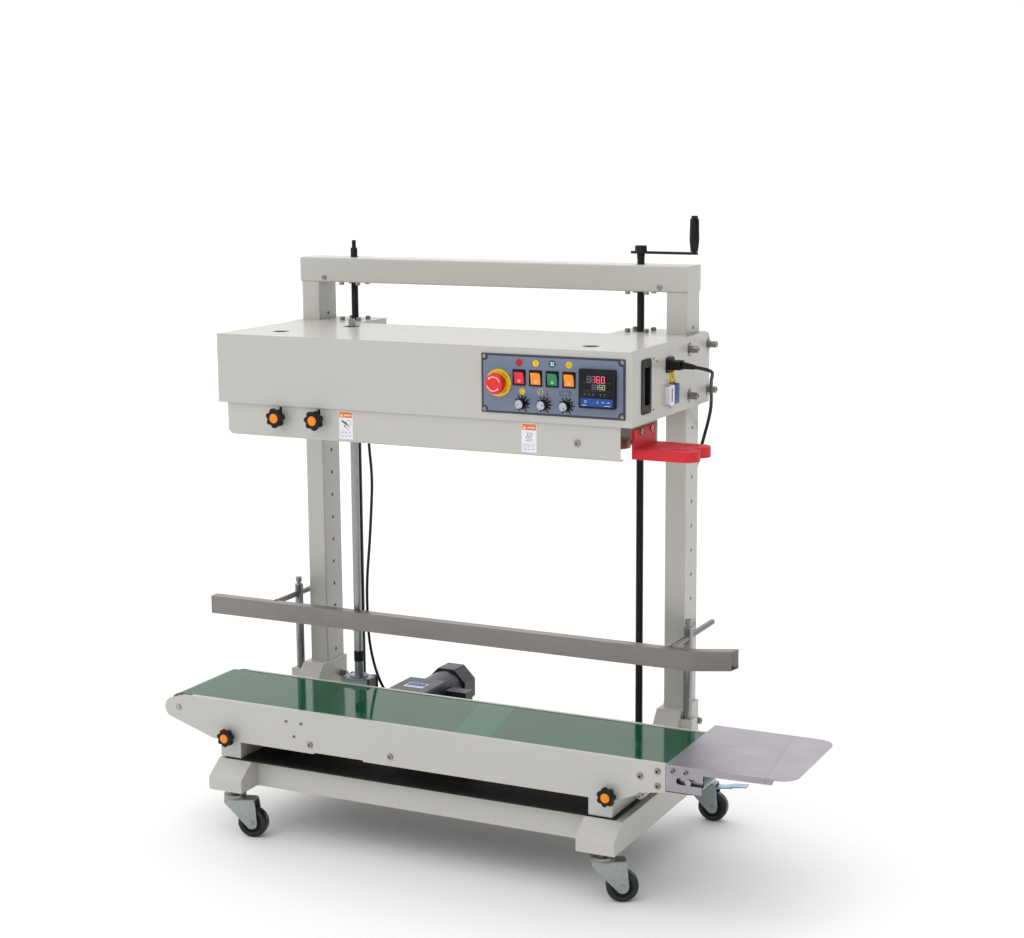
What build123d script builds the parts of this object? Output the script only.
from build123d import *
import os
from math import atan2, cos, degrees, hypot, pi, radians, sin, sqrt, tan

# A continuous band sealer for standing bags. A conveyor carries the filled bag from the loading tray at
# +X towards -X, while two hot bands in the liftable head close its mouth.
# While modelling, x = 0 is midway between the posts, y = 0 is the head's front face and the floor is at
# z = FLOOR. Everything is moved to the middle of the footprint, on the floor, when it is written.
# Millimetres.

# ---------------------------------------------------------------- driving dimensions
RUN = 0.05  # radial clearance of a running fit
GAP = 0.3  # gap between neighbouring pieces that move
SHEET = 3.0  # frame and conveyor sheet
BEND = 2.0  # outer radius of the bends in that sheet
THIN = 2.0  # head sheet

# Base frame
FOOT_X, FOOT_WIDTH = 415.5, 80.0
FOOT_FRONT, FOOT_REAR = -60.4, 515.0
FOOT_BOTTOM, FOOT_NOSE, FOOT_TOP = 110.0, 137.0, 166.0
FOOT_CHAMFER = 39.0
CASTER_PAD = 6.0
CROSS_MEMBERS = [(0.0, 60.0), (330.0, 390.0)]
DECK_X, DECK_FRONT, DECK_REAR, DECK_THICK = 440.0, -19.0, 420.0, 3.0
DECK_TOP = FOOT_TOP + DECK_THICK

# Gantry
POST_X, POST_WIDTH, POST_FRONT, POST_REAR = 421.0, 43.5, 325.0, 395.0
POST_HOLE_R, POST_HOLE_Z, POST_HOLE_PITCH, POST_HOLES = 4.0, 312.0, 50.0, 16
BOOT_HALF, BOOT_FRONT, BOOT_REAR, BOOT_TOP = 27.0, 300.0, 398.0, 292.0
BOOT_FOOT_Y, BOOT_KINK_Z = 262.0, 245.0
BEAM_X, BEAM_FRONT, BEAM_REAR, BEAM_BOTTOM, BEAM_TOP = 444.4, 323.6, 395.1, 1132.0, 1184.0

# Head lift
SCREW_X, SCREW_Y, SCREW_R, SCREW_BOTTOM = 331.0, 359.0, 8.0, 172.0
SCREW_SHOULDER, SCREW_NECK_R, SCREW_TIP_R, SCREW_TIP_Z = 1204.0, 6.75, 4.5, 1220.0
BOLT_SQUARE = 20.0  # half the bolt square round each screw
SYNC_Z, SYNC_R, SYNC_THICK = 1152.0, 22.0, 6.0
CRANK_Z, CRANK_LENGTH, CRANK_BAR, CRANK_THICK = 1205.0, 113.0, 15.0, 5.0
GRIP_BOTTOM, GRIP_TOP, GRIP_PIN_R = 1211.0, 1276.0, 4.0

# Head casing
HEAD_LEFT, HEAD_RIGHT, HEAD_DEPTH = -442.4, 462.4, 300.0
HEAD_BOTTOM, HEAD_TOP = 911.3, 1049.8
END_DEPTH, END_CORNER_R = 400.0, 14.0
SHAFT_X, SHAFT_Y, SHAFT_R = -260.5, 226.0, 8.5
TOP_HOLES = [(SHAFT_X, SHAFT_Y, 18.0), (-342.0, 84.0, 16.5), (350.0, 71.0, 16.5)]
LOWER_LEFT, LOWER_RIGHT, LOWER_FRONT, LOWER_BOTTOM = -422.7, 437.7, 4.8, 846.5
LOWER_LIP, LOWER_CHAMFER, LOWER_BEND = 16.0, 9.0, 4.0
HEAD_KNOBS_X, HEAD_KNOBS_Z, KNOB_SLOT_TOP = [-297.0, -208.0], 888.0, 908.0

# Carriages that ride on the posts
CARRIAGE_IN, CARRIAGE_OUT, CARRIAGE_FRONT, CARRIAGE_REAR = 288.0, 447.5, 300.0, 420.0
CARRIAGE_BOTTOM, CARRIAGE_TOP, CARRIAGE_PLATE, CARRIAGE_WALL = 915.0, 1050.0, 6.0, 3.5
END_BOLTS = [(290.5, 1026.5), (393.0, 1026.5), (290.5, 936.0), (393.0, 936.0)]
END_BOLT_R, END_SLOT, END_FLANGE_FRONT = 4.0, 26.0, 274.0

# Sealing works under the head
BAG_Y, WHEEL_OFFSET, WHEEL_R = 110.0, 30.0, 29.0
BAND_THICK, WHEEL_Z, WHEEL_HEIGHT = 0.6, 850.0, 16.0
IDLE_X, WHEEL_SHAFT_R = 370.0, 6.0
PLATE_Z, PLATE_THICK = 913.0, 3.0
GEAR_Z, GEAR_THICK, GEAR_MODULE, BAND_TEETH, SLEEVE_TEETH = 926.0, 10.0, 3.0, 20, 38
HEATER_X, COOLER_X, BLOCK_THICK = (60.0, 200.0), (-95.0, 25.0), 12.0
GUARD_Y = 205.0

# Control panel
PANEL_LEFT, PANEL_RIGHT, PANEL_BOTTOM, PANEL_TOP, PANEL_THICK = 157.0, 450.0, 925.0, 1037.0, 2.0
ROCKER_X, ROCKER_PITCH, ROCKER_Z = 236.0, 34.0, 994.0
ROCKER_NAMES = ["power_switch", "seal_switch", "fan_switch", "conveyor_switch"]
ROCKER_TILT, ROCKER_PIVOT_Y, ROCKER_PIN_R = 8.0, 4.0, 1.6
DIAL_X, DIAL_PITCH, DIAL_Z = 242.0, 45.2, 945.5
DIAL_NAMES = ["speed_dial", "count_dial", "fan_dial"]
STOP_X, STOP_Z = 193.0, 982.0
CONTROLLER_X, CONTROLLER_Z, CONTROLLER_SIDE = 397.5, 981.0, 72.0

# End fittings and the mains plug
VENT_Y, VENT_Z, VENT_RECESS = (44.0, 90.0), (929.0, 1031.0), 18.0
INLET_Y, INLET_Z = 183.0, 1008.0
PLUG_END, RELIEF_LENGTH = 488.5, 25.5

# Infeed guides
GUIDE_PLATE_X, GUIDE_PLATE, GUIDE_TOP = 439.5, 6.0, 899.0
GUIDE_BOTTOM, GUIDE_FLANGE, GUIDE_DEPTH, GUIDE_TIP = 844.0, 19.5, 54.0, 563.0

# Conveyor
SIDE_FRONT, SIDE_REAR, SIDE_TOP = -19.5, 202.5, 290.3
BELT_FRONT, BELT_REAR, BELT_THICK, BELT_TOP = -9.0, 193.0, 2.0, 289.0
ROLLER_Z, ROLLER_LEFT, ROLLER_RIGHT = 261.6, -554.6, 585.7
ROLLER_R = BELT_TOP - BELT_THICK - GAP - ROLLER_Z
AXLE_R, AXLE_REACH = 6.0, 2.5
SPACERS = [(-232.6, 222.6), (-45.8, 223.5), (490.0, 222.0)]
RISER_X, RISER_HALF, RISER_TOP = [-429.0, 407.5], 25.0, 230.0
CONVEYOR_KNOBS_X, CONVEYOR_KNOBS_Z = [-428.0, 428.0], 215.0
TRAY_LEFT, TRAY_RIGHT, TRAY_REAR, TRAY_THICK, TRAY_CORNER = 540.6, 788.0, 245.0, 1.5, 35.0

# Drive
MOTOR_X, MOTOR_Z, MOTOR_R, GEARHEAD, FAN_HALF = -132.5, 245.0, 43.0, 90.0, 46.5
MOTOR_SHAFT_Z, CROSS_X, CROSS_Z = 258.0, -270.9, 254.7
SPROCKET_R, CHAIN_THICK = 14.0, 1.6
SPROCKET_Y = {"motor": 184.0, "roller": 174.0}
BOX_LEFT, BOX_RIGHT, BOX_REAR, BOX_BOTTOM, BOX_TOP = -292.0, -228.0, 250.0, 236.0, 300.0

# Bag rail
RAIL_LEFT, RAIL_BEND, RAIL_FRONT, RAIL_DEPTH = -612.5, 503.3, 192.0, 23.0
RAIL_BOTTOM, RAIL_HEIGHT, RAIL_END, RAIL_TURN, RAIL_SLANT = 410.0, 39.0, 77.0, 24.0, 0.74
POLE_X, POLE_Y, POLE_R, POLE_BOTTOM, POLE_TOP = 458.5, 307.0, 9.0, 173.0, 467.0
ROD_R, ROD_Z, ROD_END = 6.0, 445.5, 444.0

# Casters: name, x, y, direction in which the wheel trails
CASTERS = [
    ("front_right", 415.0, -25.0, 26.0),
    ("front_left", -415.0, -25.0, 14.0),
    ("rear_right", 415.0, 475.0, 5.0),
    ("rear_left", -415.0, 475.0, 20.0),
]
FLOOR = 5.0  # level of the floor in the heights used here
WHEEL_RADIUS, WHEEL_WIDTH, TRAIL, CROWN_Z = 31.5, 24.0, 38.5, 85.0
AXLE_Z = FLOOR + WHEEL_RADIUS
PEDAL_PIVOT = (20.0, 78.0)

# Cords, as routes chosen by hand
CORD_R, CABLE_R = 3.5, 3.0
CORD_ROUTE = [
    (510.3, 193.5, 1004), (520.5, 198.7, 1002), (528.2, 207.2, 999), (532.3, 217.9, 995.3),
    (532.3, 229.4, 990.8), (527, 244, 984.5), (515, 271, 972.5), (503, 302, 957), (492, 333, 939.5),
    (481, 364, 920), (470, 391, 895),
    (456, 413, 865), (440, 429, 826), (423, 440, 777), (408, 447, 715), (397, 443, 641), (388, 446, 560),
    (379, 442, 470), (371, 448, 380), (360, 444, 295), (349, 451, 218), (324, 461, 150),
    (294, 470, 96), (272, 476, 53), (249, 480, 24), (219, 481, 9.6), (178, 478, 8.6),
    (125, 470, 8.6), (65, 484, 8.6), (-10, 492, 8.6), (-80, 474, 8.6), (-145, 462, 8.6), (-200, 470, 8.6),
]
CABLE_ROUTE = [
    (-243, 250, 916), (-243, 250, 868), (-239, 249, 800), (-233, 251, 730), (-236, 249, 660),
    (-243, 251, 585), (-250, 249, 510), (-252, 251, 440), (-249, 250, 380), (-239, 251, 325),
    (-229, 262, 279), (-227, 286, 249), (-227, 313, 241), (-219, 335, 243.5), (-202, 345, 245),
    (-183.5, 345, 245),
]


# ---------------------------------------------------------------- small helpers
def block(x0, x1, y0, y1, z0, z1):
    return Pos((x0 + x1) / 2, (y0 + y1) / 2, (z0 + z1) / 2) * Box(x1 - x0, y1 - y0, z1 - z0)


def rod_x(x0, x1, y, z, r):
    return Pos((x0 + x1) / 2, y, z) * Rot(0, 90, 0) * Cylinder(r, x1 - x0)


def rod_y(y0, y1, x, z, r):
    return Pos(x, (y0 + y1) / 2, z) * Rot(90, 0, 0) * Cylinder(r, y1 - y0)


def rod_z(z0, z1, x, y, r):
    return Pos(x, y, (z0 + z1) / 2) * Cylinder(r, z1 - z0)


def outline(points):
    return make_face(Polyline(*points, close=True))


def prism_x(points, x0, x1):
    """An outline of (y, z) points, from x0 to x1."""
    return Pos(x0, 0, 0) * extrude(Plane.YZ * outline(points), amount=x1 - x0)


def prism_y(points, y0, y1):
    """An outline of (x, z) points, from y0 to y1."""
    return Pos(0, y1, 0) * extrude(Plane.XZ * outline(points), amount=y1 - y0)


def prism_z(points, z0, z1):
    """An outline of (x, y) points, from z0 to z1."""
    return Pos(0, 0, z0) * extrude(outline(points), amount=z1 - z0)


def soften(shape, radius, keep):
    """Rounds the edges of shape whose centre passes keep."""
    return fillet([edge for edge in shape.edges() if keep(edge, edge.center())], radius)


def along(edge, axis):
    """Whether a straight edge runs along X, Y or Z, given as 0, 1 or 2."""
    ends = edge.bounding_box().size
    return max(w for k, w in enumerate((ends.X, ends.Y, ends.Z)) if k != axis) < 1e-4


def screw(place, r, shank, head=1.75, tall=1.1):
    """A socket screw whose head stands on place's +Z side and whose shank goes down."""
    cap = Pos(0, 0, r * tall / 2) * Cylinder(r * head, r * tall)
    cap = fillet(cap.faces().sort_by(Axis.Z)[-1].edges(), r * 0.35)
    socket = Pos(0, 0, r * tall) * extrude(RegularPolygon(r * 0.8, 6), amount=-r * 0.7)
    return place * (cap - socket + Pos(0, 0, -shank / 2) * Cylinder(r, shank))


def facing(x, y, z, way):
    """A place at x, y, z whose +Z points +X, -Y, +Z or -Z."""
    turn = {"+x": Rot(0, 90, 0), "-y": Rot(90, 0, 0), "+z": Rot(0, 0, 0), "-z": Rot(180, 0, 0)}
    return Pos(x, y, z) * turn[way]


def stadium(x0, x1, y, r, z0, z1):
    """A bar with round ends of radius r, centred at x0 and x1."""
    bar = block(x0, x1, y - r, y + r, z0, z1)
    return bar + rod_z(z0, z1, x0, y, r) + rod_z(z0, z1, x1, y, r)


def slant_loop(a, b, r, thick, width):
    """A loop round two equal circles at a and b in the XY plane, from z = 0 to width."""
    long = hypot(b[0] - a[0], b[1] - a[1])
    turn = degrees(atan2(b[1] - a[1], b[0] - a[0]))
    loop = stadium(0, long, 0, r + thick, 0, width) - stadium(0, long, 0, r, -1, width + 1)
    return Pos(a[0], a[1], 0) * Rot(0, 0, turn) * loop


def gear(teeth, phase, thick):
    """A straight-toothed wheel with backlash, its first tooth at phase degrees."""
    pitch_r, step = teeth * GEAR_MODULE / 2, 2 * pi / teeth
    root_r, tip_r = pitch_r - 1.25 * GEAR_MODULE, pitch_r + 0.8 * GEAR_MODULE
    corners = [(root_r, -0.30), (tip_r, -0.11), (tip_r, 0.11), (root_r, 0.30)]
    points = []
    for k in range(teeth):
        for radius, part in corners:
            angle = radians(phase) + (k + part) * step
            points.append((radius * cos(angle), radius * sin(angle)))
    return extrude(outline(points), amount=thick)


def star_knob(radius, thick, hub, stud):
    """A seven-lobed hand knob: face at z = 0, body below it, then a hub and a stud."""
    body = Pos(0, 0, -thick / 2) * Cylinder(radius, thick)
    for k in range(7):
        angle = 2 * pi * k / 7
        reach = radius * 1.18
        body -= Pos(reach * cos(angle), reach * sin(angle), -thick / 2) * Cylinder(radius * 0.34, thick + 1)
    body += Pos(0, 0, 0.5) * Cylinder(radius * 0.5, 1)
    body += Pos(0, 0, -thick - hub / 2) * Cylinder(radius * 0.45, hub)
    return body + Pos(0, 0, -thick - hub - stud / 2) * Cylinder(3, stud)


def cord(points, radius):
    """A tube along straight runs joined by tangent arcs as large as the runs allow."""
    corners = [Vector(*p) for p in points]
    radii = []
    for before, at, after in zip(corners, corners[1:], corners[2:]):
        into, out = at - before, after - at
        half = radians(into.get_angle(out)) / 2
        radii.append(0.45 * min(into.length, out.length) / tan(half))
    path = FilletPolyline(*corners, radius=radii)
    section = Plane(origin=corners[0], z_dir=corners[1] - corners[0]) * Circle(radius)
    tube = sweep(section, path=path)
    share = tube.volume / (pi * radius * radius * path.length)
    print(f"cord: {path.length:.0f} mm, volume {share:.4f} of section by length")
    print(f"cord: smallest bend radius {min(radii):.1f} mm")
    return tube


# ---------------------------------------------------------------- base and gantry
def foot(x):
    nose = FOOT_FRONT + FOOT_CHAMFER
    heel = FOOT_REAR - FOOT_CHAMFER
    side = [(FOOT_FRONT, FOOT_BOTTOM), (FOOT_FRONT, FOOT_NOSE), (nose, FOOT_TOP), (heel, FOOT_TOP)]
    side += [(FOOT_REAR, FOOT_NOSE), (FOOT_REAR, FOOT_BOTTOM)]
    shell = prism_x(side, x - FOOT_WIDTH / 2, x + FOOT_WIDTH / 2)
    shell = soften(shell, BEND, lambda edge, at: at.Z > FOOT_BOTTOM + 1)
    inner = [(FOOT_FRONT + SHEET, FOOT_BOTTOM - 1), (FOOT_FRONT + SHEET, FOOT_NOSE - SHEET / 2)]
    inner += [(nose + SHEET / 2, FOOT_TOP - SHEET), (heel - SHEET / 2, FOOT_TOP - SHEET)]
    inner += [(FOOT_REAR - SHEET, FOOT_NOSE - SHEET / 2), (FOOT_REAR - SHEET, FOOT_BOTTOM - 1)]
    half = FOOT_WIDTH / 2 - SHEET
    shell -= prism_x(inner, x - half, x + half)
    for _, _, y, _ in CASTERS[1:3]:
        pad = block(x - half, x + half, y - half, y + half, FOOT_BOTTOM, FOOT_BOTTOM + CASTER_PAD)
        shell += pad & block(x - half, x + half, FOOT_FRONT + SHEET, FOOT_REAR - SHEET, 0, FOOT_TOP)
    return shell


def cross_member(front, rear):
    reach = FOOT_X - FOOT_WIDTH / 2
    bar = block(-reach, reach, front, rear, FOOT_BOTTOM, FOOT_TOP)
    bar = soften(bar, BEND, lambda edge, at: along(edge, 0) and at.Z > FOOT_TOP - 1)
    return bar - block(-reach, reach, front + SHEET, rear - SHEET, FOOT_BOTTOM - 1, FOOT_TOP - SHEET)


def boot(x, side):
    """The sheet sleeve round a post's bottom, with the pole's clamp on its outer side."""
    wall = [(BOOT_FOOT_Y, DECK_TOP), (BOOT_FOOT_Y, BOOT_KINK_Z), (BOOT_FRONT, BOOT_TOP)]
    wall += [(BOOT_REAR, BOOT_TOP), (BOOT_REAR, DECK_TOP)]
    inner = [(BOOT_FOOT_Y + SHEET, DECK_TOP - 1), (BOOT_FOOT_Y + SHEET, BOOT_KINK_Z - 1)]
    inner += [(BOOT_FRONT + 1, BOOT_TOP - SHEET), (POST_REAR, BOOT_TOP - SHEET), (POST_REAR, DECK_TOP - 1)]
    sleeve = prism_x(wall, x - BOOT_HALF, x + BOOT_HALF)
    sleeve = soften(sleeve, BEND, lambda edge, at: at.Z > DECK_TOP + 1)
    sleeve -= prism_x(inner, x - BOOT_HALF + SHEET, x + BOOT_HALF - SHEET)
    sleeve -= block(x - POST_WIDTH / 2, x + POST_WIDTH / 2, POST_FRONT, POST_REAR, DECK_TOP, BOOT_TOP + 1)
    sleeve -= rod_x(x - BOOT_HALF - 1, x + BOOT_HALF + 1, 372.0, 254.0, 4.0 + RUN)
    clamp_in, clamp_out = abs(x) + BOOT_HALF, POLE_X + POLE_R + 6
    low, high = sorted((side * clamp_in, side * clamp_out))
    clamp = block(low, high, POLE_Y - 15, POLE_Y + 15, 236.0, 277.0)
    return sleeve + clamp - rod_z(230.0, 280.0, side * POLE_X, POLE_Y, POLE_R + RUN)


def base_frame():
    frame = foot(-FOOT_X) + foot(FOOT_X)
    for front, rear in CROSS_MEMBERS:
        frame += cross_member(front, rear)
    for _, x, y, _ in CASTERS:
        frame -= rod_z(FOOT_BOTTOM - 1, FOOT_BOTTOM + CASTER_PAD + 1, x, y, 6.0)
    return [frame, boot(-POST_X, -1), boot(POST_X, 1)]


def deck_plate():
    return [block(-DECK_X, DECK_X, DECK_FRONT, DECK_REAR, FOOT_TOP, DECK_TOP)]


def post(x):
    half = POST_WIDTH / 2
    tube = block(x - half, x + half, POST_FRONT, POST_REAR, DECK_TOP, BEAM_BOTTOM)
    tube = soften(tube, SHEET, lambda edge, at: along(edge, 2))
    tube -= block(x - half + SHEET, x + half - SHEET, POST_FRONT + SHEET, POST_REAR - SHEET, 0, BEAM_TOP)
    middle = (POST_FRONT + POST_REAR) / 2
    for k in range(POST_HOLES):
        tube -= rod_x(x - half - 1, x + half + 1, middle, POST_HOLE_Z + k * POST_HOLE_PITCH, POST_HOLE_R)
    return tube - rod_x(x - half - 1, x + half + 1, 372.0, 254.0, 4.0 + RUN)


def bolt_square(x, y):
    return [(x + a * BOLT_SQUARE, y + b * BOLT_SQUARE) for a in (-1, 1) for b in (-1, 1)]


def top_beam():
    beam = block(-BEAM_X, BEAM_X, BEAM_FRONT, BEAM_REAR, BEAM_BOTTOM, BEAM_TOP)
    beam = soften(beam, SHEET + 0.5, lambda edge, at: along(edge, 0))
    inner = BEAM_X - SHEET
    beam -= block(-inner, inner, BEAM_FRONT + SHEET, BEAM_REAR - SHEET, BEAM_BOTTOM + SHEET, BEAM_TOP - SHEET)
    for x in (-SCREW_X, SCREW_X):
        beam -= rod_z(BEAM_BOTTOM - 1, BEAM_TOP + 1, x, SCREW_Y, SCREW_R + 1)
        for bx, by in bolt_square(x, SCREW_Y):
            beam -= rod_z(BEAM_BOTTOM - 1, BEAM_BOTTOM + SHEET + 1, bx, by, 3.0 + RUN)
    for x in (-385.0, 385.0):
        beam -= rod_y(BEAM_FRONT - 1, BEAM_FRONT + SHEET + 1, x, 1141.5, 3.0)
    return [beam]


def bearing_plate(x, z):
    """A flanged screw bearing standing on z."""
    plate = block(x - 30, x + 30, SCREW_Y - 30, SCREW_Y + 30, z, z + 5)
    plate += rod_z(z + 5, z + 13, x, SCREW_Y, 16.0)
    plate -= rod_z(z - 1, z + 14, x, SCREW_Y, SCREW_R + RUN)
    for bx, by in bolt_square(x, SCREW_Y):
        plate -= rod_z(z - 1, z + 6, bx, by, 3.0 + RUN)
    return plate


def frame_fasteners():
    pieces = []
    for x in (-SCREW_X, SCREW_X):
        pieces.append(bearing_plate(x, BEAM_BOTTOM + SHEET))
        pieces.append(bearing_plate(x, DECK_TOP))
        for bx, by in bolt_square(x, SCREW_Y):
            pieces.append(screw(facing(bx, by, BEAM_BOTTOM, "-z"), 3.0, 10.0, 1.8, 2.3))
            pieces.append(screw(facing(bx, by, DECK_TOP + 5, "+z"), 3.0, 5.0))
    for x in (-385.0, 385.0):
        pieces.append(screw(facing(x, BEAM_FRONT, 1141.5, "-y"), 3.0, 8.0))
    for x in (-POST_X, POST_X):
        pieces.append(screw(facing(x + BOOT_HALF, 372.0, 254.0, "+x"), 4.0, 48.0, 1.7, 4.0))
    for _, x, y, _ in CASTERS:
        stem = rod_z(CROWN_Z - 6, FOOT_BOTTOM + CASTER_PAD + 8, x, y, 6.0 - RUN)
        cup = rod_z(CROWN_Z + 5 + GAP, CROWN_Z + 11, x, y, 23.0)
        nut = Pos(x, y, CROWN_Z + 11) * extrude(RegularPolygon(11, 6), amount=FOOT_BOTTOM - CROWN_Z - 11)
        rivet = rod_z(CROWN_Z - 6, CROWN_Z - GAP, x, y, 10.0)
        pieces.append(stem + cup + nut + rivet)
    return pieces


# ---------------------------------------------------------------- head lift
def lead_screw(x, tip):
    body = rod_z(SCREW_BOTTOM, SCREW_SHOULDER, x, SCREW_Y, SCREW_R)
    body += rod_z(SYNC_Z, SYNC_Z + SYNC_THICK, x, SCREW_Y, SYNC_R)
    if tip:
        return [body + rod_z(SCREW_SHOULDER, SCREW_TIP_Z, x, SCREW_Y, SCREW_TIP_R)]
    return [body + rod_z(SCREW_SHOULDER, SCREW_SHOULDER + 14, x, SCREW_Y, SCREW_NECK_R)]


def crank_arm():
    """A strap round the screw's neck, a flat bar and the pin of the grip."""
    end = SCREW_X + CRANK_LENGTH
    bar = stadium(SCREW_X - 14, end, SCREW_Y, CRANK_BAR / 2, CRANK_Z, CRANK_Z + CRANK_THICK)
    hub = rod_z(CRANK_Z, CRANK_Z + 16, SCREW_X, SCREW_Y, 12.0)
    arm = bar + hub - rod_z(CRANK_Z - 5, CRANK_Z + 30, SCREW_X, SCREW_Y, SCREW_NECK_R + RUN)
    arm += rod_z(CRANK_Z + CRANK_THICK, GRIP_TOP + 1, end, SCREW_Y, GRIP_PIN_R)
    arm += rod_z(GRIP_TOP + GAP, GRIP_TOP + 5, end, SCREW_Y, 6.5)
    return [arm]


def crank_grip():
    heights = [GRIP_BOTTOM, GRIP_BOTTOM + 22, GRIP_TOP]
    x = SCREW_X + CRANK_LENGTH
    profile = [(GRIP_PIN_R + RUN, heights[0]), (7.5, heights[0]), (9.8, heights[1]), (9.0, heights[2])]
    profile.append((GRIP_PIN_R + RUN, heights[2]))
    return [Pos(x, SCREW_Y, 0) * revolve(Plane.XZ * outline(profile), Axis.Z)]


# ---------------------------------------------------------------- head casing
def bent_edge(edge, at):
    """The head shell's left front and top front edges."""
    return at.X < 0 and at.Y < 1 or at.Z > HEAD_TOP - 1 and at.Y < 200 and at.X < 1


def head_cover():
    inner_right = HEAD_RIGHT - THIN
    shell = block(HEAD_LEFT, inner_right, 0, HEAD_DEPTH, HEAD_BOTTOM, HEAD_TOP)
    shell = soften(shell, BEND, bent_edge)
    shell -= block(HEAD_LEFT + THIN, HEAD_RIGHT, THIN, HEAD_DEPTH + 1, HEAD_BOTTOM - 1, HEAD_TOP - THIN)
    for x, y, r in TOP_HOLES:
        shell -= rod_z(HEAD_TOP - THIN - 1, HEAD_TOP + 1, x, y, r)
    shell -= block(PANEL_LEFT + 7, PANEL_RIGHT - 7, -1, THIN + 1, PANEL_BOTTOM + 7, PANEL_TOP - 7)
    end = block(inner_right, HEAD_RIGHT, 0, END_DEPTH, HEAD_BOTTOM, HEAD_TOP + THIN)
    corner = end.edges().filter_by(Axis.X).sort_by(lambda e: e.center().Y + e.center().Z)[-1]
    end = fillet(corner, END_CORNER_R)
    end -= block(450, 470, VENT_Y[0] + 2.8, VENT_Y[1] - 2.8, VENT_Z[0] + 3.8, VENT_Z[1] - 3.8)
    end -= block(450, 470, INLET_Y - 14.2, INLET_Y + 14.2, INLET_Z - 11.2, INLET_Z + 11.2)
    for y, z in END_BOLTS:
        half = END_SLOT / 2 - END_BOLT_R
        end -= block(450, 470, y - END_BOLT_R - 0.2, y + END_BOLT_R + 0.2, z - half, z + half)
        for way in (-1, 1):
            end -= rod_x(450, 470, y, z + way * half, END_BOLT_R + 0.2)
    return [shell, end]


def carriage(side):
    """The welded box that rides on one post and holds the lead nut."""
    low, high = sorted((side * CARRIAGE_IN, side * CARRIAGE_OUT))
    box = block(low, high, CARRIAGE_FRONT, CARRIAGE_REAR, CARRIAGE_BOTTOM, CARRIAGE_TOP)
    box = soften(box, BEND, lambda edge, at: along(edge, 2) and at.Y > POST_REAR)
    wall, plate = CARRIAGE_WALL, CARRIAGE_PLATE
    box -= block(low + wall, high - wall, CARRIAGE_FRONT + wall, CARRIAGE_REAR - wall,
                 CARRIAGE_BOTTOM + plate, CARRIAGE_TOP - plate)
    post_half = POST_WIDTH / 2 + 1
    post_left, post_right = side * POST_X - post_half, side * POST_X + post_half
    box -= block(post_left, post_right, POST_FRONT - 1, POST_REAR + 1, 0, BEAM_TOP)
    box -= rod_z(0, BEAM_TOP, side * SCREW_X, SCREW_Y, 16.0)
    for bx, by in bolt_square(side * SCREW_X, SCREW_Y):
        box -= rod_z(CARRIAGE_TOP - plate - 1, CARRIAGE_TOP + 1, bx, by, 3.0 + RUN)
    if side > 0:
        box += block(CARRIAGE_OUT - wall, CARRIAGE_OUT, END_FLANGE_FRONT, CARRIAGE_FRONT,
                     CARRIAGE_BOTTOM, CARRIAGE_TOP - 4)
        for y, z in END_BOLTS:
            box -= rod_x(CARRIAGE_OUT - wall - 1, CARRIAGE_OUT + 1, y, z, END_BOLT_R)
    return box


def lead_nut(x):
    top = CARRIAGE_TOP - CARRIAGE_PLATE
    nut = block(x - 30, x + 30, SCREW_Y - 30, SCREW_Y + 30, top - 8, top)
    nut += rod_z(top - 40, top - 8, x, SCREW_Y, 15.0)
    nut -= rod_z(top - 41, top + 1, x, SCREW_Y, SCREW_R + RUN)
    for bx, by in bolt_square(x, SCREW_Y):
        nut -= rod_z(top - 9, top + 1, bx, by, 3.0 + RUN)
    return nut


def drive_wheel_x():
    """The band drive wheels stand where their gears mesh with the sleeve's gear."""
    distance = (BAND_TEETH + SLEEVE_TEETH) * GEAR_MODULE / 2
    return SHAFT_X - sqrt(distance**2 - (SHAFT_Y - BAG_Y - WHEEL_OFFSET) ** 2)


def wheel_places():
    return {
        "front_drive_wheel": (drive_wheel_x(), BAG_Y - WHEEL_OFFSET),
        "rear_drive_wheel": (drive_wheel_x(), BAG_Y + WHEEL_OFFSET),
        "front_idle_wheel": (IDLE_X, BAG_Y - WHEEL_OFFSET),
        "rear_idle_wheel": (IDLE_X, BAG_Y + WHEEL_OFFSET),
    }


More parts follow.
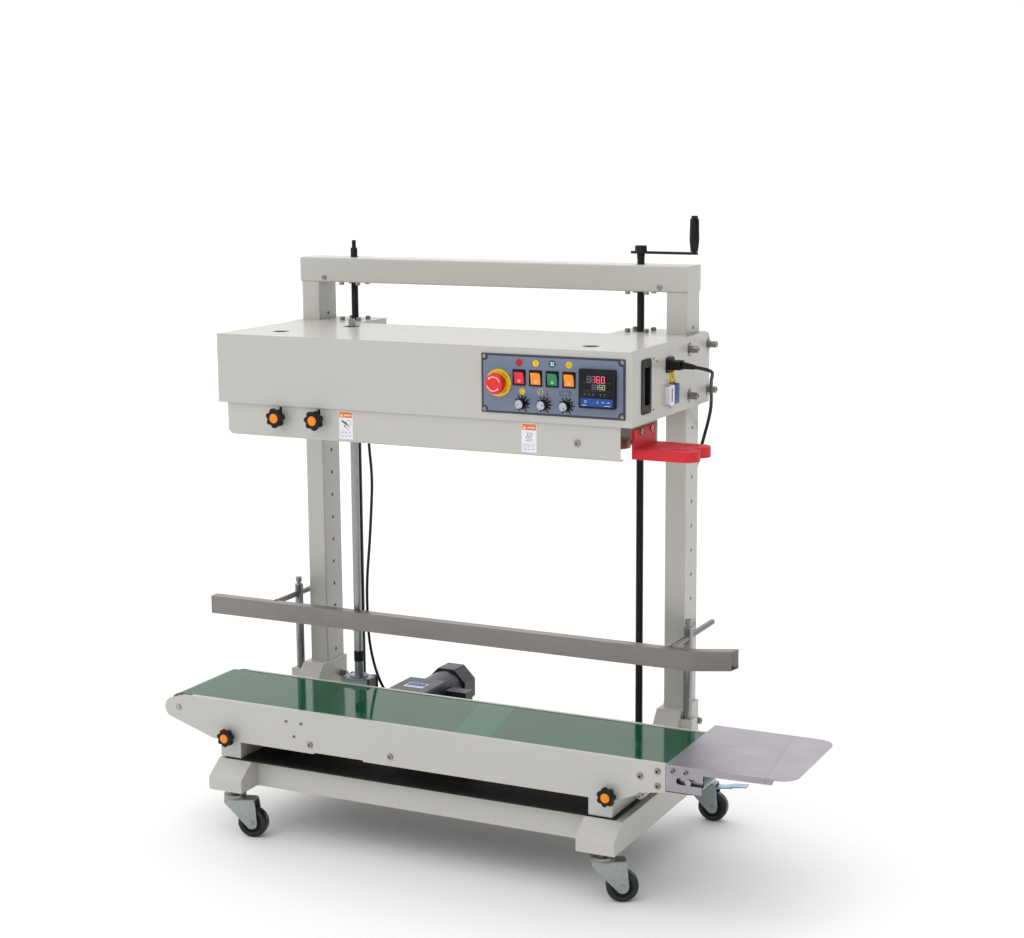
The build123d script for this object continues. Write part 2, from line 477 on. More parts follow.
def head_chassis():
    """Floor and back plate of the head with the rear guard, seal blocks, carriages and lead nuts."""
    reach, top = 438.0, PLATE_Z + PLATE_THICK
    floor = block(-reach, reach, THIN + GAP, HEAD_DEPTH, PLATE_Z, top)
    floor += block(-reach, reach, HEAD_DEPTH - THIN, HEAD_DEPTH, PLATE_Z, HEAD_TOP - THIN - GAP)
    floor += block(LOWER_LEFT + 3, LOWER_RIGHT - 8, GUARD_Y, GUARD_Y + THIN, LOWER_BOTTOM + 2, PLATE_Z)
    floor += block(LOWER_LEFT + 3, LOWER_RIGHT - 8, GUARD_Y - 20, GUARD_Y, LOWER_BOTTOM + 2, LOWER_BOTTOM + 4)
    floor -= rod_z(PLATE_Z - 1, top + 1, SHAFT_X, SHAFT_Y, 20.0)
    for x, y in wheel_places().values():
        floor += rod_z(PLATE_Z - 14, PLATE_Z, x, y, 14.0)
        floor -= rod_z(PLATE_Z - 15, top + 1, x, y, WHEEL_SHAFT_R + RUN)
    floor -= rod_z(PLATE_Z - 1, top + 1, CABLE_ROUTE[0][0], CABLE_ROUTE[0][1], 9.0)
    pieces = [floor, carriage(-1), carriage(1), lead_nut(-SCREW_X), lead_nut(SCREW_X)]
    for x0, x1 in (HEATER_X, COOLER_X):
        for way in (-1, 1):
            face = BAG_Y + way * (WHEEL_OFFSET - WHEEL_R)
            back = face + way * BLOCK_THICK
            y0, y1 = sorted((face, back))
            bar = block(x0, x1, y0, y1, WHEEL_Z + 1, WHEEL_Z + WHEEL_HEIGHT - 1)
            middle = (x0 + x1) / 2
            bar += rod_z(WHEEL_Z + WHEEL_HEIGHT - 1, PLATE_Z, middle - 30, (y0 + y1) / 2, 4.0)
            bar += rod_z(WHEEL_Z + WHEEL_HEIGHT - 1, PLATE_Z, middle + 30, (y0 + y1) / 2, 4.0)
            pieces.append(bar)
    return pieces


def lower_cover():
    """Front sheet bent under at the bottom, with a side flange and the corner between them cut off."""
    bottom, left = LOWER_BOTTOM, LOWER_LEFT
    bend_y, bend_z = LOWER_FRONT + LOWER_BEND, bottom + LOWER_BEND
    turns = [radians(-90 - 15 * step) for step in range(7)]
    profile = [(LOWER_FRONT + LOWER_LIP, bottom)]
    profile += [(bend_y + LOWER_BEND * cos(t), bend_z + LOWER_BEND * sin(t)) for t in turns]
    profile += [(LOWER_FRONT, HEAD_BOTTOM), (LOWER_FRONT + THIN, HEAD_BOTTOM)]
    inner = LOWER_BEND - THIN
    profile += [(bend_y + inner * cos(t), bend_z + inner * sin(t)) for t in reversed(turns)]
    profile.append((LOWER_FRONT + LOWER_LIP, bottom + THIN))
    sheet = prism_x(profile, left, LOWER_RIGHT)
    cut = LOWER_CHAMFER + 1
    corner = [(left - 1, bottom - 1), (left + cut, bottom - 1), (left - 1, bottom + cut)]
    sheet -= prism_y(corner, LOWER_FRONT - 1, LOWER_FRONT + LOWER_LIP + 1)
    sheet += block(left, left + THIN, LOWER_FRONT, 100.0, bottom + LOWER_CHAMFER, HEAD_BOTTOM)
    for x in HEAD_KNOBS_X:
        sheet -= block(x - 3.4, x + 3.4, 0, 10, HEAD_KNOBS_Z - 4, KNOB_SLOT_TOP)
    return [sheet - rod_y(0, 10, 351.5, 876.5, 4.0)]


def infeed_guides():
    """Two mirrored angle pieces that lead the bag's mouth between the bands."""
    pieces = []
    radius = GUIDE_DEPTH / 2
    for way in (-1, 1):
        near = BAG_Y + way * 0.6
        y0, y1 = sorted((near, near + way * GUIDE_DEPTH))
        middle = (y0 + y1) / 2
        top = GUIDE_BOTTOM + GUIDE_FLANGE
        flange = block(GUIDE_PLATE_X, GUIDE_TIP - radius, y0, y1, GUIDE_BOTTOM, top)
        flange += rod_z(GUIDE_BOTTOM, top, GUIDE_TIP - radius, middle, radius)
        flange = soften(flange, 1.5, lambda edge, at: at.Z > top - 0.1 and at.X > GUIDE_PLATE_X + 1)
        flange -= stadium(516.0, 540.0, middle, 3.2, GUIDE_BOTTOM - 1, top + 1)
        rear_edge = y1 - max(way, 0) * 6
        plate = block(GUIDE_PLATE_X, GUIDE_PLATE_X + GUIDE_PLATE, y0, rear_edge, GUIDE_BOTTOM, GUIDE_TOP)
        plate -= rod_x(GUIDE_PLATE_X - 1, GUIDE_PLATE_X + 8, BAG_Y + way * 25, 892.0, 3.0)
        pieces.append(flange + plate)
    return pieces


def band_loop(y, inner_r):
    """One band loop round its two wheels, as a thin closed strip."""
    start, end = (drive_wheel_x(), y), (IDLE_X, y)
    width = WHEEL_HEIGHT - 1
    return Pos(0, 0, WHEEL_Z + 0.5) * slant_loop(start, end, inner_r, BAND_THICK, width)


def seal_bands():
    return [band_loop(BAG_Y - WHEEL_OFFSET, WHEEL_R + GAP), band_loop(BAG_Y + WHEEL_OFFSET, WHEEL_R + GAP)]


def head_fasteners():
    pieces = []
    for x in (-SCREW_X, SCREW_X):
        for bx, by in bolt_square(x, SCREW_Y):
            pieces.append(screw(facing(bx, by, CARRIAGE_TOP, "+z"), 3.0, 13.0, 1.8, 2.4))
    for y, z in END_BOLTS:
        washer = rod_x(HEAD_RIGHT, HEAD_RIGHT + 2, y, z, 11.0) - rod_x(460, 470, y, z, END_BOLT_R)
        spacer = rod_x(CARRIAGE_OUT, HEAD_RIGHT - THIN, y, z, 8.0) - rod_x(440, 470, y, z, END_BOLT_R)
        pieces.append(washer)
        pieces.append(spacer)
        pieces.append(screw(facing(HEAD_RIGHT + 2, y, z, "+x"), END_BOLT_R, 20.5, 1.7, 4.2))
    for x in (PANEL_LEFT + 6, PANEL_RIGHT - 6):
        for z in (PANEL_BOTTOM + 6, PANEL_TOP - 6):
            pieces.append(screw(facing(x, -PANEL_THICK, z, "-y"), 1.6, PANEL_THICK))
    pieces.append(screw(facing(351.5, LOWER_FRONT, 876.5, "-y"), 4.0, 10.0, 1.6, 0.7))
    for way in (-1, 1):
        place = facing(GUIDE_PLATE_X + GUIDE_PLATE, BAG_Y + way * 25, 892.0, "+x")
        pieces.append(screw(place, 3.0, 12.0, 1.8, 0.9))
    return pieces


def side_fittings():
    """Vent grip, mains inlet and a small terminal on the head's right end."""
    y0, y1 = VENT_Y
    z0, z1 = VENT_Z
    vent = block(HEAD_RIGHT, HEAD_RIGHT + THIN, y0, y1, z0, z1)
    vent = fillet(vent.edges().filter_by(Axis.X), 6)
    vent += block(HEAD_RIGHT - VENT_RECESS, HEAD_RIGHT, y0 + 3, y1 - 3, z0 + 4, z1 - 4)
    vent -= block(HEAD_RIGHT - VENT_RECESS + 2, HEAD_RIGHT + 5, y0 + 13, y1 - 8, z0 + 16, z1 - 16)
    inlet = block(HEAD_RIGHT, HEAD_RIGHT + 4, INLET_Y - 19, INLET_Y + 19, INLET_Z - 15, INLET_Z + 15)
    inlet = fillet(inlet.edges().filter_by(Axis.X), 9)
    inlet += block(HEAD_RIGHT - 22, HEAD_RIGHT, INLET_Y - 14, INLET_Y + 14, INLET_Z - 11, INLET_Z + 11)
    socket_y, socket_z = 12.2, 9.2
    inlet -= block(HEAD_RIGHT - 12, HEAD_RIGHT + 5, INLET_Y - socket_y, INLET_Y + socket_y,
                   INLET_Z - socket_z, INLET_Z + socket_z)
    terminal = block(HEAD_RIGHT, HEAD_RIGHT + 9, 164, 213, 932, 970)
    x, y, _ = CABLE_ROUTE[0]
    grommet = rod_z(PLATE_Z - 2, PLATE_Z, x, y, 11.0) + rod_z(PLATE_Z, PLATE_Z + 5, x, y, 9.0)
    return [vent, inlet, terminal, grommet - rod_z(PLATE_Z - 3, PLATE_Z + 6, x, y, CABLE_R + 0.2)]


# ---------------------------------------------------------------- control panel
def rocker_centre(k):
    return ROCKER_X + k * ROCKER_PITCH


def dial_centre(k):
    return DIAL_X + k * DIAL_PITCH


def control_panel():
    """Face plate with switch frames, potentiometers, stop collar and the temperature controller."""
    plate = block(PANEL_LEFT, PANEL_RIGHT, -PANEL_THICK, 0, PANEL_BOTTOM, PANEL_TOP)
    for x in (PANEL_LEFT + 6, PANEL_RIGHT - 6):
        for z in (PANEL_BOTTOM + 6, PANEL_TOP - 6):
            plate -= rod_y(-5, 5, x, z, 1.6)
    pieces = []
    for k in range(4):
        x = rocker_centre(k)
        plate -= block(x - 12, x + 12, -5, 5, ROCKER_Z - 14, ROCKER_Z + 14)
        body = block(x - 13.2, x + 13.2, -4, -PANEL_THICK, ROCKER_Z - 15.2, ROCKER_Z + 15.2)
        body += block(x - 12, x + 12, -PANEL_THICK, 20, ROCKER_Z - 14, ROCKER_Z + 14)
        body -= block(x - 10.3, x + 10.3, -5, 8, ROCKER_Z - 12.7, ROCKER_Z + 12.7)
        body -= rod_x(x - 11.3, x + 11.3, ROCKER_PIVOT_Y, ROCKER_Z, ROCKER_PIN_R + RUN)
        pieces.append(body)
    for k in range(3):
        x = dial_centre(k)
        plate -= rod_y(-5, 5, x, DIAL_Z, 4.0)
        can = rod_y(0, 12, x, DIAL_Z, 8.5) - rod_y(-1, 10, x, DIAL_Z, 3.0 + RUN)
        pieces.append(can)
    plate -= rod_y(-5, 5, STOP_X, STOP_Z, 11.0)
    collar = rod_y(-8, -PANEL_THICK, STOP_X, STOP_Z, 15.0) + rod_y(-PANEL_THICK, 24, STOP_X, STOP_Z, 11.0)
    collar += rod_y(-3.2, -PANEL_THICK, STOP_X, STOP_Z, 26.0)
    pieces.append(collar - rod_y(-10, 14, STOP_X, STOP_Z, 8.0 + RUN))
    half = CONTROLLER_SIDE / 2
    x, z = CONTROLLER_X, CONTROLLER_Z
    plate -= block(x - half + 2, x + half - 2, -5, 5, z - half + 2, z + half - 2)
    unit = block(x - half, x + half, -12, -PANEL_THICK, z - half, z + half)
    unit += block(x - half + 2, x + half - 2, -PANEL_THICK, 70, z - half + 2, z + half - 2)
    pieces.append(unit)
    return [plate] + pieces


def stop_button():
    cap = rod_y(-25, -13, STOP_X, STOP_Z, 20.0)
    cap = fillet(cap.faces().sort_by(Axis.Y)[0].edges(), 5)
    return [cap + rod_y(-13, 9, STOP_X, STOP_Z, 8.0)]


def rocker(k):
    profile = [(-8.5, 11), (-7, 0), (-8.5, -11), (2, -10), (2, 10)]
    body = prism_x(profile, -10, 10) + rod_x(-11, 11, 0, 0, ROCKER_PIN_R)
    return [Pos(rocker_centre(k), ROCKER_PIVOT_Y, ROCKER_Z) * Rot(ROCKER_TILT, 0, 0) * body]


def dial(k):
    x = dial_centre(k)
    knob = rod_y(-5.5, -2.5, x, DIAL_Z, 11.5) + rod_y(-19, -5.5, x, DIAL_Z, 8.6)
    knob += rod_y(-20.5, -19, x, DIAL_Z, 7.6) + rod_y(-2.5, 9, x, DIAL_Z, 3.0)
    return [knob - block(x - 0.6, x + 0.6, -21, -19.6, DIAL_Z, DIAL_Z + 9)]


# ---------------------------------------------------------------- conveyor
def side_outline():
    """The (x, z) outline of a conveyor side plate, round at the discharge end."""
    left, top, bend = -589.6, SIDE_TOP, 22.0
    arc = [(left + bend - bend * cos(radians(a)), 259 + bend * sin(radians(a))) for a in range(-60, 61, 20)]
    under = [(-470, 205), (-225, 204), (-223, 207), (-110, 207), (-108, 204), (436, 204)]
    return arc + [(-540, top), (540, top), (540, 236), (500, 230)] + under[::-1]


def side_plate(outer, way):
    """One side plate with its inward top flange; way points from its outer face inwards."""
    y0, y1 = sorted((outer, outer + way * SHEET))
    plate = prism_y(side_outline(), y0, y1)
    f0, f1 = sorted((outer, outer + way * 9.0))
    plate += block(-522, 540, f0, f1, SIDE_TOP - SHEET, SIDE_TOP)
    upper = SIDE_TOP - 1
    plate = soften(plate, BEND, lambda edge, at: along(edge, 0) and abs(at.Y - outer) < 1e-3 and at.Z > upper)
    return plate - rod_y(y0 - 1, y1 + 1, ROLLER_LEFT, ROLLER_Z, AXLE_R + RUN)


def risers():
    pieces = []
    for x in RISER_X:
        y0, y1 = SIDE_FRONT + SHEET, SIDE_REAR - SHEET
        box = block(x - RISER_HALF, x + RISER_HALF, y0, y1, DECK_TOP, RISER_TOP)
        box = soften(box, BEND, lambda edge, at: along(edge, 2))
        inner = RISER_HALF - SHEET
        box -= block(x - inner, x + inner, y0 + SHEET, y1 - SHEET, 0, RISER_TOP - SHEET)
        knob_x = min(CONVEYOR_KNOBS_X, key=lambda k: abs(k - x))
        pieces.append(box - rod_y(y0 - 1, y0 + SHEET + 1, knob_x, CONVEYOR_KNOBS_Z, 3.4))
    return pieces


def conveyor_frame():
    front, rear = side_plate(SIDE_FRONT, 1), side_plate(SIDE_REAR, -1)
    for x in CONVEYOR_KNOBS_X:
        front -= rod_y(SIDE_FRONT - 1, SIDE_FRONT + SHEET + 1, x, CONVEYOR_KNOBS_Z, 3.4)
    for x, z in SPACERS:
        front -= rod_y(SIDE_FRONT - 1, SIDE_FRONT + SHEET + 1, x, z, 4.0)
        rear -= rod_y(SIDE_REAR - SHEET - 1, SIDE_REAR + 1, x, z, 4.0)
    rear -= rod_y(SIDE_REAR - SHEET - 1, SIDE_REAR + 1, MOTOR_X, MOTOR_SHAFT_Z, 20.0)
    rear -= rod_y(SIDE_REAR - SHEET - 1, SIDE_REAR + 1, CROSS_X, CROSS_Z, 16.0)
    bed_y = (SIDE_FRONT + SHEET, SIDE_REAR - SHEET)
    bed = block(-515, 535, bed_y[0] + 8, bed_y[1] - 8, BELT_TOP - BELT_THICK - 2.5, BELT_TOP - BELT_THICK)
    for y in bed_y:
        low, high = sorted((y, y + (8 if y < 0 else -8)))
        bed += block(-480, 500, low, high, BELT_TOP - BELT_THICK - 14, BELT_TOP - BELT_THICK - 2.5)
    bed -= block(-470, 490, bed_y[0] + 2, bed_y[1] - 2, 200, BELT_TOP - BELT_THICK - 2.5)
    bars = [rod_y(SIDE_FRONT + SHEET, SIDE_REAR - SHEET, x, z, 7.0) for x, z in SPACERS]
    hung = [bar - rod_y(SIDE_FRONT, SIDE_FRONT + 25, x, z, 4.0) for bar, (x, z) in zip(bars, SPACERS)]
    hung = [bar - rod_y(SIDE_REAR - 25, SIDE_REAR, x, z, 4.0) for bar, (x, z) in zip(hung, SPACERS)]
    carrier = rod_y(SIDE_FRONT + SHEET, 10, CROSS_X, CROSS_Z, 17.0)
    carrier -= rod_y(-30, 11, CROSS_X, CROSS_Z, 6.0 + RUN)
    return [front, rear, bed, carrier] + hung + risers() + tail_brackets()


def tail_brackets():
    """Rear bearing bracket of the tail roller; the front one is folded down from the tray."""
    plate = block(500, 611, SIDE_REAR, SIDE_REAR + 2, 240, 286)
    slot = stadium(568, 640, 0, 6.3, -20, 20)
    slot = Pos(0, SIDE_REAR, ROLLER_Z) * Rot(90, 0, 0) * slot
    return [plate - slot]


def conveyor_belt():
    loop = slant_loop((ROLLER_LEFT, 0), (ROLLER_RIGHT, 0), ROLLER_R + GAP, BELT_THICK, BELT_REAR - BELT_FRONT)
    return [Pos(0, BELT_REAR, ROLLER_Z) * Rot(90, 0, 0) * loop]


def drive_roller():
    body = rod_y(BELT_FRONT, 166, ROLLER_LEFT, ROLLER_Z, ROLLER_R)
    body += rod_y(SPROCKET_Y["roller"], SPROCKET_Y["roller"] + 5, ROLLER_LEFT, ROLLER_Z, SPROCKET_R)
    body += rod_y(SIDE_FRONT - AXLE_REACH, SIDE_REAR + AXLE_REACH, ROLLER_LEFT, ROLLER_Z, AXLE_R)
    return [body]


def tail_roller():
    body = rod_y(BELT_FRONT, BELT_REAR, ROLLER_RIGHT, ROLLER_Z, ROLLER_R)
    return [body + rod_y(SIDE_FRONT - 2, SIDE_REAR + 4, ROLLER_RIGHT, ROLLER_Z, AXLE_R)]


def loading_tray():
    """Stainless sheet with a folded front edge that also carries the tail roller's front bearing."""
    top, left, right, rear = BELT_TOP + 2, TRAY_LEFT, TRAY_RIGHT, TRAY_REAR
    sheet = block(left, right, SIDE_FRONT, rear, top - TRAY_THICK, top)
    sheet = fillet(sheet.edges().filter_by(Axis.Z).group_by(Axis.X)[-1], TRAY_CORNER)
    fold = [(left, top), (751, top), (746, 280), (614, 278), (611, 240), (left, 240)]
    apron = prism_y(fold, SIDE_FRONT, SIDE_FRONT + TRAY_THICK)
    slot = Pos(0, SIDE_FRONT, ROLLER_Z) * Rot(90, 0, 0) * stadium(568, 640, 0, 6.3, -20, 20)
    for x in (554.8, 580.5):
        apron -= rod_y(SIDE_FRONT - 1, SIDE_FRONT + 4, x, 279.8, 2.6)
    return [sheet + (apron - slot)]


def conveyor_screws():
    pieces = []
    for x, z in SPACERS:
        pieces.append(screw(facing(x, SIDE_FRONT, z, "-y"), 4.0, 22.0, 1.6, 0.8))
    return pieces


# ---------------------------------------------------------------- drive
def gear_motor():
    """Gearhead, round motor, eight-sided fan cover and terminal box."""
    half = GEARHEAD / 2
    head = block(MOTOR_X - half, MOTOR_X + half, SIDE_REAR, 298, MOTOR_Z - half, MOTOR_Z + half)
    head = fillet(head.edges().filter_by(Axis.Y), 4)
    head -= rod_y(SIDE_REAR - 1, 280, MOTOR_X, MOTOR_SHAFT_Z, AXLE_R + RUN)
    motor = rod_y(298, 380, MOTOR_X, MOTOR_Z, MOTOR_R)
    motor -= block(MOTOR_X + 28, MOTOR_X + 60, 304, 336, MOTOR_Z - 20, MOTOR_Z + 24)
    cover = Rot(0, 0, 22.5) * RegularPolygon(FAN_HALF, 8, major_radius=False)
    fan = Pos(MOTOR_X, 428, MOTOR_Z) * Rot(90, 0, 0) * extrude(cover, amount=48)
    terminals = block(MOTOR_X + 28.2, MOTOR_X + 88, 305, 335, MOTOR_Z - 18, MOTOR_Z + 22)
    gland = rod_x(MOTOR_X - MOTOR_R - 8, MOTOR_X - MOTOR_R + 3, 345, MOTOR_Z, 7.0)
    gland -= rod_y(290, 390, MOTOR_X, MOTOR_Z, MOTOR_R)
    return [head, motor, fan, terminals, gland]


def angle_gearbox():
    box = block(BOX_LEFT, BOX_RIGHT, SIDE_REAR, BOX_REAR, BOX_BOTTOM, BOX_TOP)
    box -= block(BOX_LEFT + 4, BOX_RIGHT - 4, SIDE_REAR + 4, BOX_REAR - 4, BOX_BOTTOM + 4, BOX_TOP - 4)
    box -= rod_y(SIDE_REAR - 1, SIDE_REAR + 6, CROSS_X, CROSS_Z, AXLE_R + RUN)
    box += rod_z(BOX_TOP, BOX_TOP + 4, SHAFT_X, SHAFT_Y, 19.0)
    return [box - rod_z(BOX_TOP - 5, BOX_TOP + 5, SHAFT_X, SHAFT_Y, SHAFT_R + RUN)]


def motor_shaft():
    body = rod_y(SPROCKET_Y["motor"] - 4, 276, MOTOR_X, MOTOR_SHAFT_Z, AXLE_R)
    return [body + rod_y(SPROCKET_Y["motor"], SPROCKET_Y["motor"] + 5, MOTOR_X, MOTOR_SHAFT_Z, SPROCKET_R)]


def cross_shaft():
    body = rod_y(SIDE_FRONT + SHEET + 2, SIDE_REAR + 12, CROSS_X, CROSS_Z, AXLE_R)
    for y in SPROCKET_Y.values():
        body += rod_y(y, y + 5, CROSS_X, CROSS_Z, SPROCKET_R)
    return [body + rod_y(SIDE_REAR + 5, SIDE_REAR + 12, CROSS_X, CROSS_Z, 10.0)]


def chain(a, b, y):
    loop = slant_loop(a, b, SPROCKET_R + GAP, CHAIN_THICK, 5)
    return Pos(0, y + 5, 0) * Rot(90, 0, 0) * loop


def drive_chains():
    """Plain loops that stand for the chains, clear of the sprockets."""
    cross = (CROSS_X, CROSS_Z)
    pieces = [chain(cross, (MOTOR_X, MOTOR_SHAFT_Z), SPROCKET_Y["motor"])]
    pieces.append(chain((ROLLER_LEFT, ROLLER_Z), cross, SPROCKET_Y["roller"]))
    sync = slant_loop((-SCREW_X, SCREW_Y), (SCREW_X, SCREW_Y), SYNC_R + GAP, CHAIN_THICK, SYNC_THICK)
    return pieces + [Pos(0, 0, SYNC_Z) * sync]


def drive_shaft():
    """Vertical shaft with couplings and a square top end that comes out of the head."""
    x, y = SHAFT_X, SHAFT_Y
    body = rod_z(282, 1048, x, y, SHAFT_R)
    body += Pos(x, y, 1057) * Box(10, 10, 18)
    body += rod_z(306, 334, x, y, 9.6) + rod_z(334, 357, x, y, 9.0) + rod_z(357, 400, x, y, 9.6)
    bevel_gear = rod_z(284, 292, x, y, 15.0) - rod_z(283, 293, x, y, SHAFT_R + RUN)
    return [body, bevel_gear]


def band_phase():
    """Phase of the sleeve gear that meshes with the rear drive wheel's gear at rest."""
    x, y = wheel_places()["rear_drive_wheel"]
    line = degrees(atan2(SHAFT_Y - y, SHAFT_X - x))
    band_step, sleeve_step = 360 / BAND_TEETH, 360 / SLEEVE_TEETH
    past = (line / band_step) % 1
    return line + 180 - (0.5 - past) * sleeve_step


def drive_sleeve():
    body = Pos(SHAFT_X, SHAFT_Y, GEAR_Z) * gear(SLEEVE_TEETH, band_phase(), GEAR_THICK)
    body += rod_z(PLATE_Z - 8, GEAR_Z + 26, SHAFT_X, SHAFT_Y, 15.0)
    return [body - rod_z(PLATE_Z - 9, GEAR_Z + 27, SHAFT_X, SHAFT_Y, SHAFT_R + RUN)]


def band_wheel(name):
    x, y = wheel_places()[name]
    body = rod_z(WHEEL_Z, WHEEL_Z + WHEEL_HEIGHT, x, y, WHEEL_R)
    if "idle" in name:
        return [body + rod_z(WHEEL_Z, PLATE_Z + 10, x, y, WHEEL_SHAFT_R)]
    body += rod_z(WHEEL_Z, GEAR_Z + GEAR_THICK + 3, x, y, WHEEL_SHAFT_R)
    phase = 0 if "rear" in name else 180 / BAND_TEETH
    return [body + Pos(x, y, GEAR_Z) * gear(BAND_TEETH, phase, GEAR_THICK)]


# ---------------------------------------------------------------- bag rail
def rail_strip(half, over, z0, z1):
    """The rail's bent strip with a slanted end: half its depth, run past both ends by over."""
    middle = RAIL_FRONT + RAIL_DEPTH / 2
    turn = radians(RAIL_TURN)
    mitre = half * tan(turn / 2)
    near, far = RAIL_END + over, RAIL_END + over + RAIL_SLANT * half * 2
    side_x, side_y = half * sin(turn), half * cos(turn)
    near_end = (RAIL_BEND + near * cos(turn) + side_x, middle + near * sin(turn) - side_y)
    far_end = (RAIL_BEND + far * cos(turn) - side_x, middle + far * sin(turn) + side_y)
    left = RAIL_LEFT - over
    points = [(left, middle - half), (RAIL_BEND + mitre, middle - half), near_end]
    points += [far_end, (RAIL_BEND - mitre, middle + half), (left, middle + half)]
    return prism_z(points, z0, z1)


def guide_rail():
    wall = 1.5
    tube = rail_strip(RAIL_DEPTH / 2, 0, RAIL_BOTTOM, RAIL_BOTTOM + RAIL_HEIGHT)
    tube -= rail_strip(RAIL_DEPTH / 2 - wall, 5, RAIL_BOTTOM + wall, RAIL_BOTTOM + RAIL_HEIGHT - wall)
    for x in (-POLE_X, POLE_X):
        tube += rod_y(RAIL_FRONT + RAIL_DEPTH - wall, ROD_END, x, ROD_Z, ROD_R)
    return [tube]


def rail_poles():
    pieces = []
    for x in (-POLE_X, POLE_X):
        pole = rod_z(POLE_BOTTOM, POLE_TOP, x, POLE_Y, POLE_R)
        pole = chamfer(pole.faces().sort_by(Axis.Z)[-1].edges(), 1.5)
        pole += rod_z(POLE_TOP, POLE_TOP + 4, x, POLE_Y, 4.0)
        pole += rod_z(POLE_TOP + 4, POLE_TOP + 15, x, POLE_Y, 6.5)
        pieces.append(pole - rod_y(POLE_Y - 20, POLE_Y + 20, x, ROD_Z, ROD_R + RUN))
    return pieces


# ---------------------------------------------------------------- casters
def at_caster(x, y, angle, shape):
    return Pos(x, y, 0) * Rot(0, 0, angle) * shape


def caster_fork(braked):
    """Swivel cup, top plate and two tapering legs with the axle between them."""
    crown = rod_z(CROWN_Z, CROWN_Z + 5, 0, 0, 24.0) + block(0, 46, -16, 16, CROWN_Z, CROWN_Z + 3)
    crown -= rod_z(CROWN_Z - 1, CROWN_Z + 6, 0, 0, 6.0 + RUN)
    leg = [(-20, CROWN_Z + 3), (46, CROWN_Z + 3), (48, 68)]
    leg += [(TRAIL + 13, AXLE_Z + 2), (TRAIL + 10, AXLE_Z - 8)]
    leg += [(TRAIL + 3, AXLE_Z - 12.5), (TRAIL - 4, AXLE_Z - 12), (TRAIL - 11, AXLE_Z - 5), (-20, 80)]
    for way in (-1, 1):
        y0, y1 = sorted((way * 13.5, way * 16.0))
        crown += prism_y(leg, y0, y1)
    if braked:
        crown -= rod_y(-20, 20, *PEDAL_PIVOT, 2.5 + RUN)
    return crown + rod_y(-19, 19, TRAIL, AXLE_Z, 4.0)


def caster_wheel():
    half = WHEEL_WIDTH / 2
    wheel = rod_y(-half, half, TRAIL, AXLE_Z, WHEEL_RADIUS)
    wheel = fillet(wheel.edges().filter_by(GeomType.CIRCLE), 5)
    for way in (-1, 1):
        y0, y1 = sorted((way * (half - 3), way * (half + 1)))
        wheel -= rod_y(y0, y1, TRAIL, AXLE_Z, 20.0) - rod_y(y0, y1, TRAIL, AXLE_Z, 9.0)
    return wheel - rod_y(-half - 1, half + 1, TRAIL, AXLE_Z, 4.0 + RUN)


def brake_pedal():
    arm = [(15, 74), (24, 74), (36, 73.5), (60, 78), (80, 80), (83, 84), (113, 86), (113, 89), (81, 87)]
    arm += [(60, 81.5), (15, 82)]
    return prism_y(arm, -11, 11) + rod_y(-17, 17, *PEDAL_PIVOT, 2.5)


# ---------------------------------------------------------------- cords
def inlet_plug():
    body = block(HEAD_RIGHT - 10, PLUG_END, INLET_Y - 12, INLET_Y + 12, INLET_Z - 9, INLET_Z + 9)
    body = fillet(body.edges().filter_by(Axis.X), 4)
    start, ahead = Vector(*CORD_ROUTE[0]), Vector(*CORD_ROUTE[1])
    relief = Plane(origin=start, z_dir=start - ahead) * Pos(0, 0, RELIEF_LENGTH / 2)
    return [body + relief * Cone(CORD_R + 1.2, 7.5, RELIEF_LENGTH)]


def wall_plug():
    """Round plug lying on the floor, with two pins, in line with the cord's last run."""
    end, before = Vector(*CORD_ROUTE[-1]), Vector(*CORD_ROUTE[-2])
    turn = degrees(atan2(end.Y - before.Y, end.X - before.X))
    relief = Pos(12, 0, 0) * Rot(0, 90, 0) * Cone(CORD_R + 1, 8, 24)
    body = Pos(38, 0, 5.4) * Rot(0, 90, 0) * Cylinder(9, 28)
    plug = relief & block(0, 24, -9, 9, -3.6, 12)
    plug += body + block(22, 26, -6, 6, -3.4, 6)
    for y in (-5, 5):
        plug += Pos(60, y, 5.4) * Rot(0, 90, 0) * Cylinder(2, 18)
    return [Pos(end.X, end.Y, end.Z) * Rot(0, 0, turn) * plug]


# ---------------------------------------------------------------- all nodes
def star_knobs():
    nodes = {}
    for name, x in zip(("left_head_knob", "right_head_knob"), HEAD_KNOBS_X):
        nodes[name] = [facing(x, -22.0, HEAD_KNOBS_Z, "-y") * star_knob(20.0, 14.0, 12.0, 22.0)]
    for name, x in zip(("left_conveyor_knob", "right_conveyor_knob"), CONVEYOR_KNOBS_X):
        nodes[name] = [facing(x, SIDE_FRONT - 22.0, CONVEYOR_KNOBS_Z, "-y") * star_knob(19.0, 14.0, 7.7, 6.0)]
    return nodes


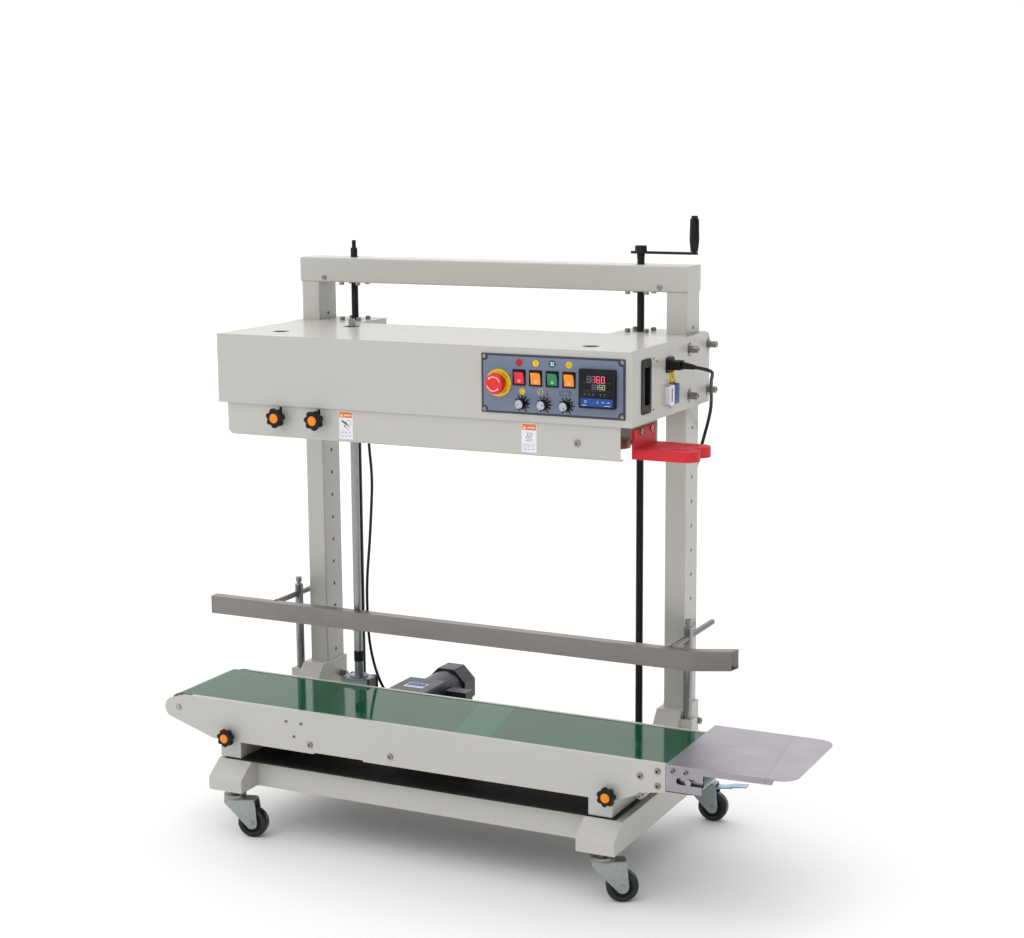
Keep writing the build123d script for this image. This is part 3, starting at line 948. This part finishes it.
def nodes():
    found = {
        "base_frame": base_frame(), "deck_plate": deck_plate(), "posts": [post(-POST_X), post(POST_X)],
        "top_beam": top_beam(), "conveyor_frame": conveyor_frame(), "conveyor_belt": conveyor_belt(),
        "loading_tray": loading_tray(), "gear_motor": gear_motor(), "angle_gearbox": angle_gearbox(),
        "drive_chains": drive_chains(), "frame_fasteners": frame_fasteners() + conveyor_screws(),
        "head_cover": head_cover(), "head_chassis": head_chassis(), "lower_cover": lower_cover(),
        "control_panel": control_panel(), "infeed_guides": infeed_guides(), "seal_bands": seal_bands(),
        "head_fasteners": head_fasteners(), "side_fittings": side_fittings(),
        "right_lead_screw": lead_screw(SCREW_X, False), "left_lead_screw": lead_screw(-SCREW_X, True),
        "crank_arm": crank_arm(), "crank_grip": crank_grip(), "stop_button": stop_button(),
        "drive_roller": drive_roller(), "tail_roller": tail_roller(), "motor_shaft": motor_shaft(),
        "cross_shaft": cross_shaft(), "drive_shaft": drive_shaft(), "drive_sleeve": drive_sleeve(),
        "guide_rail": guide_rail(), "rail_poles": rail_poles(), "inlet_plug": inlet_plug(),
        "wall_plug": wall_plug(),
        "power_cord": [cord(CORD_ROUTE, CORD_R)], "motor_cable": [cord(CABLE_ROUTE, CABLE_R)],
    }
    for k, name in enumerate(ROCKER_NAMES):
        found[name] = rocker(k)
    for k, name in enumerate(DIAL_NAMES):
        found[name] = dial(k)
    for name in wheel_places():
        found[name] = band_wheel(name)
    for name, x, y, angle in CASTERS:
        found[name + "_caster"] = [at_caster(x, y, angle, caster_fork(name == "rear_right"))]
        found[name + "_wheel"] = [at_caster(x, y, angle, caster_wheel())]
    _, x, y, angle = CASTERS[2]
    found["brake_pedal"] = [at_caster(x, y, angle, brake_pedal())]
    return found | star_knobs()


CORD_NODES = ("power_cord", "wall_plug", "inlet_plug", "motor_cable")

os.makedirs("parts", exist_ok=True)
whole = {}
for node, shapes in nodes().items():
    whole[node] = Compound([solid for shape in shapes for solid in shape.solids()])
box = Compound([shape for node, shape in whole.items() if node not in CORD_NODES]).bounding_box()
middle_x, middle_y = (box.min.X + box.max.X) / 2, (box.min.Y + box.max.Y) / 2
print(f"footprint middle {middle_x:.3f} {middle_y:.3f}, lowest {box.min.Z:.3f}, size {box.size}")
for node, shape in whole.items():
    export_step(Pos(-middle_x, -middle_y, -box.min.Z) * shape, f"parts/{node}.step")
print(len(whole), "nodes")
